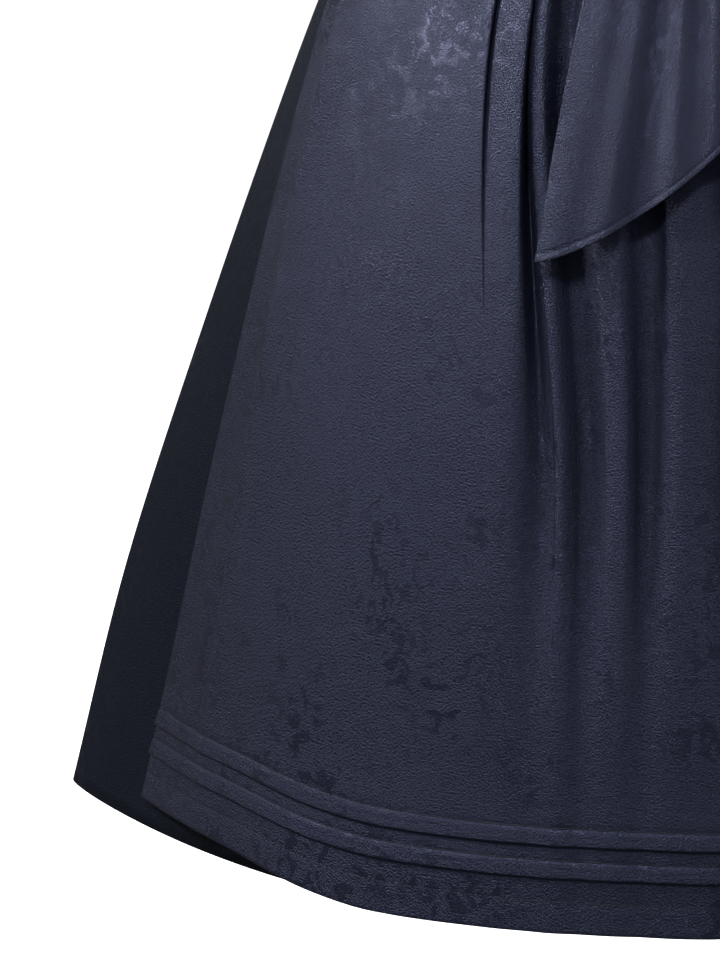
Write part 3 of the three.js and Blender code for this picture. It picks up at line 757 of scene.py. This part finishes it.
band = sash(
    "band_cloth", "apron_band", -BAND_REACH, BAND_REACH, BAND_HEIGHTS, BAND_OUT, APRON_CLOTH, 160
)
tie_fronts = [
    tie("tie_front_left", KNOT_REACH, TIE_JOIN, TIE_FRONT_OUT, 90),
    tie("tie_front_right", -TIE_JOIN, -KNOT_REACH, TIE_FRONT_OUT, 90),
]
tie_back = tie("tie_back", TIE_JOIN, WHOLE_TURN - TIE_JOIN, TIE_BACK_OUT, 200)

# Bow

KNOT_FRONT = -113.8
KNOT_Z = WAIST_Z - 3
KNOT_HALF_WIDTH = 17
KNOT_PATH = np.array(  # depth behind the knot's front, height
    [
        (9.2, -15.5),
        (5.5, -17),
        (1.8, -13.5),
        (0, -6),
        (0, 6),
        (1.8, 13.5),
        (7, 17),
        (14, 15.5),
    ]
)


def make_knot():
    """The turn of cloth round the bow's middle, pinched and creased along its length."""
    t = np.linspace(0, len(KNOT_PATH) - 1, 60)
    back, up = knots(KNOT_PATH[:, 0][None], t)[0], knots(KNOT_PATH[:, 1][None], t)[0]
    u = np.linspace(-1, 1, 41)[None, :]
    pinch = 1 - 0.09 * (1 - u**2)
    crease = 0.6 * np.sin(9 * u + 0.4 * np.sin(4 * u)) + 0.9 * (1 - u**2)
    narrowing = 1 - 0.04 * np.cos(t / t[-1] * np.pi)[:, None]
    x = np.broadcast_to(KNOT_HALF_WIDTH * u * narrowing, (len(t), u.size))
    y = KNOT_FRONT + back[:, None] - crease
    z = KNOT_Z + up[:, None] * pinch
    points = np.stack([x, y, z], axis=-1)
    return cloth_piece("knot_cloth", points, TIE_CLOTH, 0.8, "bow_knot")


knot = make_knot()

LOOP = np.array(  # distance from the centre front, stand-off, middle height, half width
    [
        (17.2, 16.6, -3, 12),
        (34, 26, -5, 21),
        (60, 34, -12, 31),
        (88, 35, -21, 36),
        (106, 31, -28, 37),
        (113, 25, -30, 37),
        (107, 19, -28, 37),
        (88, 17, -21, 35),
        (60, 13.6, -12, 30),
        (34, 11.6, -5, 20),
        (17.2, 8.8, -3, 11),
    ]
)


def make_loop(side, sign):
    """A loop of the bow, out from the knot and back to it, cupped, and creased near the knot."""
    path = LOOP[::-1] if sign > 0 else LOOP
    t = np.linspace(0, len(path) - 1, 90)
    x, out, middle, half = (knots(path[:, k][None], t)[0][None, :] for k in range(4))
    v = np.linspace(-1, 1, 41)[:, None]
    near = 1 - smooth(x, 20, 95)
    cup = 3 * (1 - v**2) * np.clip((out - 18) / 6, -1, 1)
    crease = near * 2.6 * np.sin(2 * np.pi * (1.6 * v + 0.1)) * np.clip((out - 12) / 8, 0, 1)
    points = across(sign * x + 0 * v, middle + v * half, out + cup + crease)
    return cloth_piece(f"loop_{side}", points, TIE_CLOTH, 0.8, f"bow_loop_{side}")


loops = [make_loop(side, sign) for side, sign in (("left", 1), ("right", -1))]

TAILS = {  # drop, inner edge, outer edge, stand-off
    "right": (
        (20.4, -2, 20, 4.5),
        (60, -3, 27, 12),
        (115, -5, 40, 19),
        (180, -8, 55.5, 24),
        (245, -9, 67, 26),
        (315.5, -6, 77.5, 27),
    ),
    "left": (
        (20.4, 4, 21, 4.5),
        (60, 6, 32, 12),
        (115, 10, 50, 19),
        (180, 14, 68, 24),
        (245, 15, 82, 26),
        (305, 13, 95, 27),
    ),
}
TAIL_SLANT = 58.0
TAIL_CURVE = 1.4
TAIL_HEM = 4.0
TAIL_PLEATS = ((2.2, 1.5, 0.0), (1.2, 3.3, 1.0))  # depth, waves across the tail, phase
KNOT_PLEATS = (1.6, 4.0)


def make_tail(side, sign):
    """A tail from its slanting end up to the knot, where it is pleated more closely."""
    table = np.array(TAILS[side], float)
    drops, inner, outer, out = table.T
    hem_rows = [0, 0.6, 1.4, TAIL_HEM - 0.5, TAIL_HEM, TAIL_HEM + 0.6]
    up = np.concatenate([hem_rows, np.linspace(7, 292, 110)])
    u = np.linspace(0, 1, 97)
    share = u if sign > 0 else 1 - u
    end = drops[-1] - TAIL_SLANT * (1 - share) ** TAIL_CURVE
    v = np.clip(1 - up[:, None] / (end - drops[0])[None, :], 0, 1)
    drop = lerp(drops[0], end[None, :], v)
    x = lerp(through(drops, inner, drop), through(drops, outer, drop), share)
    fold = sum(a * np.sin(2 * np.pi * waves * share + phase) for a, waves, phase in TAIL_PLEATS)
    fold = fold * v + (1 - v) * KNOT_PLEATS[0] * np.sin(2 * np.pi * KNOT_PLEATS[1] * share)
    hem = 0.2 * (up[:, None] < TAIL_HEM - 0.2) - 0.2 * (np.abs(up[:, None] - TAIL_HEM) < 0.3)
    points = across(sign * x, -drop, through(drops, out, drop) + fold + hem)
    return cloth_piece(f"tail_{side}", points, TIE_CLOTH, 0.7, f"bow_tail_{side}")


tails = {side: make_tail(side, sign) for side, sign in (("left", 1), ("right", -1))}

# Bodice

TOP_PLACES = (0, 0.25, 0.42, 0.52, 0.68, 0.84, 1, 1.16, 1.32, 1.44, 1.6, 1.8, 2)
TOP_HEIGHTS = (222, 227, 246, 263, 259, 212, 198, 206, 250, 297, 303, 292, 289)
PRINCESS = ((0, 110, 200, 262), (0.45, 0.47, 0.52, 0.56))
PRINCESS_TOP = 262.0
BACK_SEAM = 1.5
BUST_OUT = 30
BUST_HEIGHT = 198
PANEL_RIPPLE = 0.5
SEAM_DIP = 0.5
RIM_HEIGHT = 0.5


def half_turn(place):
    """How far a place is from the centre front, on either side."""
    return np.minimum(np.abs(place), WHOLE_TURN - np.abs(place))


def top_edge(place):
    """The height of the bodice's neckline, armholes and back edge."""
    return through(TOP_PLACES, TOP_HEIGHTS, half_turn(place))


def bodice_out(place, height):
    """The bust's stand-off from the plan."""
    return BUST_OUT * bump(half_turn(place), 0.52, 0.3) * bump(height, BUST_HEIGHT, 62)


def princess(height):
    """The place of the princess seam, which curves outwards towards the strap."""
    return through(*PRINCESS, height)


def panel(name, start, end, columns):
    """A bodice panel between two seams, each a function of height giving a place round the dress.

    It dips into its seams and has a turned rim at the top. Its ripples fade at the centre front,
    and at the right side seam, where the places -1 and 3 meet.
    """
    u, v = np.linspace(0, 1, columns), np.linspace(0, 1, 64)
    top = top_edge(lerp(start(PRINCESS_TOP), end(PRINCESS_TOP), u))[None, :]
    height = lerp(0.2, top, v[:, None])
    place = lerp(start(height), end(height), u[None, :])
    dip = -SEAM_DIP * (np.exp(-u / 0.02) + np.exp((u - 1) / 0.02))[None, :]
    rim = RIM_HEIGHT * smooth(v, 0.965, 0.975)[:, None]
    from_right_seam = np.minimum(np.abs(place + 1), np.abs(place - 3))
    soft = ripples(place * 200, height, seed=23, count=12, u_size=50, v_size=60)
    soft = PANEL_RIPPLE * soft
    soft = soft * smooth(from_right_seam, 0, 0.15) * smooth(half_turn(place), 0.06, 0.2)
    points = around(place, height, bodice_out(place, height) + dip + rim + soft)
    return cloth_piece(name + "_cloth", points, SKIRT_CLOTH, 1.3, name)


def seam_at(place):
    """A seam that stays at one place."""
    return lambda height: place + 0 * np.asarray(height, float)


def minus(line):
    """The same seam on the wearer's right."""
    return lambda height: -line(height)


PANELS = {
    name: panel(name, start, end, columns)
    for name, start, end, columns in (
        ("bodice_front_left", seam_at(0), princess, 50),
        ("bodice_front_right", minus(princess), seam_at(0), 50),
        ("bodice_side_left", princess, seam_at(1), 50),
        ("bodice_side_right", seam_at(-1), minus(princess), 50),
        ("bodice_back_side_left", seam_at(1), seam_at(BACK_SEAM), 50),
        ("bodice_back_side_right", seam_at(WHOLE_TURN - BACK_SEAM), seam_at(3), 50),
        ("bodice_back", seam_at(BACK_SEAM), seam_at(WHOLE_TURN - BACK_SEAM), 90),
    )
}

STRAP_OVER = (  # x, y, z of the inner and outer edge over the shoulder, on the wearer's left
    ((83, -78, -88), (121, -72, -92)),
    ((80, -42, -30), (121, -38, -36)),
    ((79, 4, 0), (121, 4, -6)),
    ((76, 44, -24), (117, 42, -32)),
)
STRAP_FRONT = (0.525, 0.675)
STRAP_BACK = (1.595, 1.46)
STRAP_GAP = 0.45


def strap_foot(ends, u):
    """Where a strap starts, between two places just above the bodice's top edge."""
    place = lerp(ends[0], ends[1], u)
    height = top_edge(place) + STRAP_GAP
    return around(place, height, bodice_out(place, height))


def make_strap(side, sign):
    """A strap through its two feet and the stations over the shoulder."""
    u = np.linspace(0, 1, 25)
    over = [lerp(np.array(a, float), np.array(b, float), u[:, None]) for a, b in STRAP_OVER]
    stations = np.stack([strap_foot(STRAP_FRONT, u), *over, strap_foot(STRAP_BACK, u)], axis=-1)
    t = np.linspace(0, stations.shape[-1] - 1, 90)
    points = np.moveaxis(knots(stations, t), -1, 0)
    points[..., 0] *= sign
    if sign < 0:
        points = points[:, ::-1]
    node = f"strap_{side}"
    return cloth_piece(node + "_cloth", points, SKIRT_CLOTH, 1.4, node)


straps = [make_strap(side, sign) for side, sign in (("left", 1), ("right", -1))]

PLACKET_OFF = 1.6
PLACKET_HALF = 11
PLACKET_HEIGHTS = (22.4, 222)
TOPSTITCHING_X = 9
MM_PER_PLACE = 160


def placket_out(x, height):
    """The placket's stand-off from the plan, over the bodice's own."""
    return PLACKET_OFF + bodice_out(x / MM_PER_PLACE, height)


def make_placket():
    """A strip down the centre front, grooved along both edges where it is stitched down."""
    widths = np.linspace(-PLACKET_HALF, PLACKET_HALF, 33)
    x, height = np.meshgrid(widths, np.linspace(*PLACKET_HEIGHTS, 90))
    edge = 0.25 * (np.abs(np.abs(x) - TOPSTITCHING_X) < 0.4)
    points = across(x, height, placket_out(x, height) - edge)
    return cloth_piece("placket_cloth", points, SKIRT_CLOTH, 1.35, "placket")


placket = make_placket()


BUTTON_COUNT = 7
FIRST_BUTTON = 33
BUTTON_PITCH = 29
BUTTON_SIDES = 40
BUTTON_GAP = 0.1
BUTTON_PROFILE = (  # distance from the placket, radius
    (0, 6.2),
    (0.4, 6.9),
    (1.2, 7),
    (2.2, 6.7),
    (3.2, 5.6),
    (3.9, 3.9),
    (4.25, 2),
    (4.3, 0),
)


def make_button(number):
    """A flat dome covered in cloth, standing square off the placket."""
    height = FIRST_BUTTON + BUTTON_PITCH * (number - 1)
    foot = across(0.0, height, placket_out(0.0, height) + BUTTON_GAP)
    low, high = (across(0.0, height + s, placket_out(0.0, height + s)) for s in (-5, 5))
    up = Vector(high - low).normalized()
    outward = Vector((1, 0, 0)).cross(up)
    count = BUTTON_SIDES
    points = []
    for out, radius in BUTTON_PROFILE:
        for angle in np.linspace(0, 2 * np.pi, count, endpoint=False):
            side = Vector((math.cos(angle), 0, 0)) + math.sin(angle) * up
            points.append(Vector(foot) + radius * side + out * outward)
    points.append(Vector(foot))
    faces = []
    for ring in range(len(BUTTON_PROFILE) - 1):
        for k in range(count):
            a, b = ring * count + k, ring * count + (k + 1) % count
            faces.append((a, b, b + count, a + count))
    centre = len(points) - 1
    faces += [(centre, (k + 1) % count, k) for k in range(count)]
    mesh = bpy.data.meshes.new(f"covered_button_{number}")
    mesh.from_pydata([p * MM for p in points], [], faces)
    flat = np.array([(p.x * MM, (p.z + 0.3 * p.y) * MM, 0) for p in points])
    finish_cloth(mesh, flat, SKIRT_CLOTH)
    piece = put(f"covered_button_{number}", mesh)
    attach(piece, "root")
    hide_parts(f"button_{number}")


for button_number in range(1, BUTTON_COUNT + 1):
    make_button(button_number)

# Camera, floor and light

PHOTO_HEIGHT = 960
PIXELS_PER_MM = 1.8
HEM_Z = WAIST_Z - SKIRT_LENGTH
CAMERA_PLACE = Vector((0, -3000, HEM_Z + 820))
CAMERA_TARGET = Vector((-188.9, 0, HEM_Z + 172))
SENSOR = 36
WORLD_LIGHT = 0.15
FLOOR_HALF = 9
FLOOR_Z = -1.45
FLOOR_GLOW = 1.05


def turned_to(place, target):
    """The rotation with which a camera or light at one point looks at another."""
    return (target - place).to_track_quat("-Z", "Y").to_euler()


def make_camera():
    """A camera that shows the target at PIXELS_PER_MM, in a picture as high as the photograph."""
    camera = put("camera", bpy.data.cameras.new("camera"))
    camera.location = CAMERA_PLACE * MM
    camera.rotation_euler = turned_to(CAMERA_PLACE, CAMERA_TARGET)
    distance = (CAMERA_TARGET - CAMERA_PLACE).length
    camera.data.sensor_width = SENSOR
    camera.data.lens = SENSOR * PIXELS_PER_MM * distance / PHOTO_HEIGHT
    camera.data.clip_start = 0.05
    camera.data.clip_end = 60
    bpy.context.scene.camera = camera


def make_floor():
    """A white floor below the dress, which lights and mirrors nothing on it."""
    mesh = bpy.data.meshes.new("floor")
    signs = ((-1, -1), (1, -1), (1, 1), (-1, 1))
    corners = [(a * FLOOR_HALF, b * FLOOR_HALF, FLOOR_Z) for a, b in signs]
    mesh.from_pydata(corners, [], [(0, 1, 2, 3)])
    n = Nodes("floor_paint")
    grain = n.noise(n.add("ShaderNodeTexCoord").outputs["Object"], 3.0)
    paint = n.mix(grain, (0.86, 0.86, 0.87, 1), (0.9, 0.9, 0.9, 1))
    n.give(n.shader.inputs["Base Color"], paint)
    n.give(n.shader.inputs["Emission Color"], paint)
    n.shader.inputs["Emission Strength"].default_value = FLOOR_GLOW
    n.shader.inputs["Roughness"].default_value = 0.8
    mesh.materials.append(n.material)
    floor = put("floor", mesh)
    floor.visible_diffuse = False
    floor.visible_glossy = False


def add_light(kind, name, place, target, power):
    """A light of some watts at a place, turned to a target, both in metres."""
    light = put(name, bpy.data.lights.new(name, kind))
    light.data.energy = power
    light.location = place
    light.rotation_euler = turned_to(Vector(place), Vector(target))
    return light.data


def softbox(name, place, target, size, power):
    """A rectangular light, its size in metres."""
    light = add_light("AREA", name, place, target, power)
    light.shape = "RECTANGLE"
    light.size, light.size_y = size


def snooted_lamp(name, place, target, cone, power):
    """A soft-edged spot of light, its cone in degrees."""
    light = add_light("SPOT", name, place, target, power)
    light.spot_size = math.radians(cone)
    light.spot_blend = 1.0
    light.shadow_soft_size = 0.12


def make_world():
    """White all round, and dimmer as a light than as what the camera sees."""
    world = bpy.data.worlds.new("world")
    world.use_nodes = True
    tree = world.node_tree
    background = tree.nodes["Background"]
    background.inputs["Color"].default_value = (1, 1, 1, 1)
    seen = tree.nodes.new("ShaderNodeLightPath").outputs["Is Camera Ray"]
    strength = tree.nodes.new("ShaderNodeMapRange")
    tree.links.new(seen, strength.inputs["Value"])
    strength.inputs["To Min"].default_value = WORLD_LIGHT
    strength.inputs["To Max"].default_value = 1.0
    tree.links.new(strength.outputs[0], background.inputs["Strength"])
    bpy.context.scene.world = world


make_camera()
make_floor()
make_world()
softbox("key", (-0.85, -2.15, 1.45), (-0.1, -0.1, -0.75), (0.6, 0.6), 38)
softbox("left", (-2.05, -0.16, 0.62), (-0.16, -0.16, -0.6), (0.6, 0.3), 26)
softbox("right", (2.3, -0.1, 0.5), (0.1, 0, -0.6), (1.0, 0.8), 30)
softbox("back", (0.5, 2.4, 1.0), (0, 0.1, -0.6), (1.2, 0.8), 70)
snooted_lamp("accent", (-2.0, 0.3, 0.62), (-0.19, -0.13, -0.53), 10, 125)
bpy.context.scene.view_settings.view_transform = "Standard"
